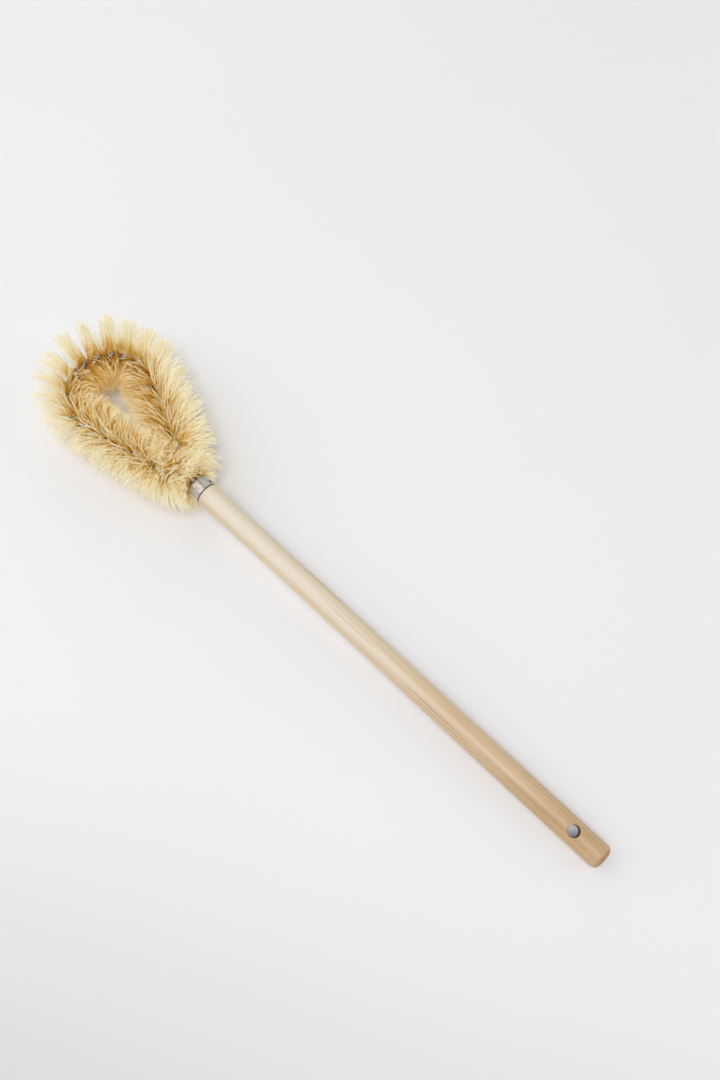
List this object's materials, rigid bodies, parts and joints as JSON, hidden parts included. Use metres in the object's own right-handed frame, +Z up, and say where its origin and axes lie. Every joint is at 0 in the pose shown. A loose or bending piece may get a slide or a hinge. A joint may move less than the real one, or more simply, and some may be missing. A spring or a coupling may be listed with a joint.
{
  "type": "toilet brush",
  "caption": "Toilet brush with a turned wooden handle, a metal ferrule and a twisted wire loop that clamps plant fibre bristles.",
  "frame": {"origin": "on the table, under the middle of the brush's bounding box", "axes": "+X along the brush from the butt of the handle to the head, +Y to the left when looking from the handle to the head, +Z up from the table"},
  "size_m": [0.5492, 0.1222, 0.0565],
  "materials": {
    "handle_wood": "pale straight-grained hardwood under clear satin lacquer",
    "ferrule_zinc": "thin zinc-coated steel sheet, softly dented",
    "nail_steel": "darkened bare steel",
    "wire_zinc": "zinc-coated round wire",
    "bristle_fibre": "dry stiff plant fibre, golden at the root and pale at the tip"
  },
  "bodies": {
    "root": {"handle": "handle_wood", "ferrule": "ferrule_zinc", "ferrule_nail": "nail_steel", "wire_strand_a": "wire_zinc", "wire_strand_b": "wire_zinc", "bristles_near_left": "bristle_fibre", "bristles_far_left": "bristle_fibre", "bristles_far_right": "bristle_fibre", "bristles_near_right": "bristle_fibre"}
  },
  "joints": []
}
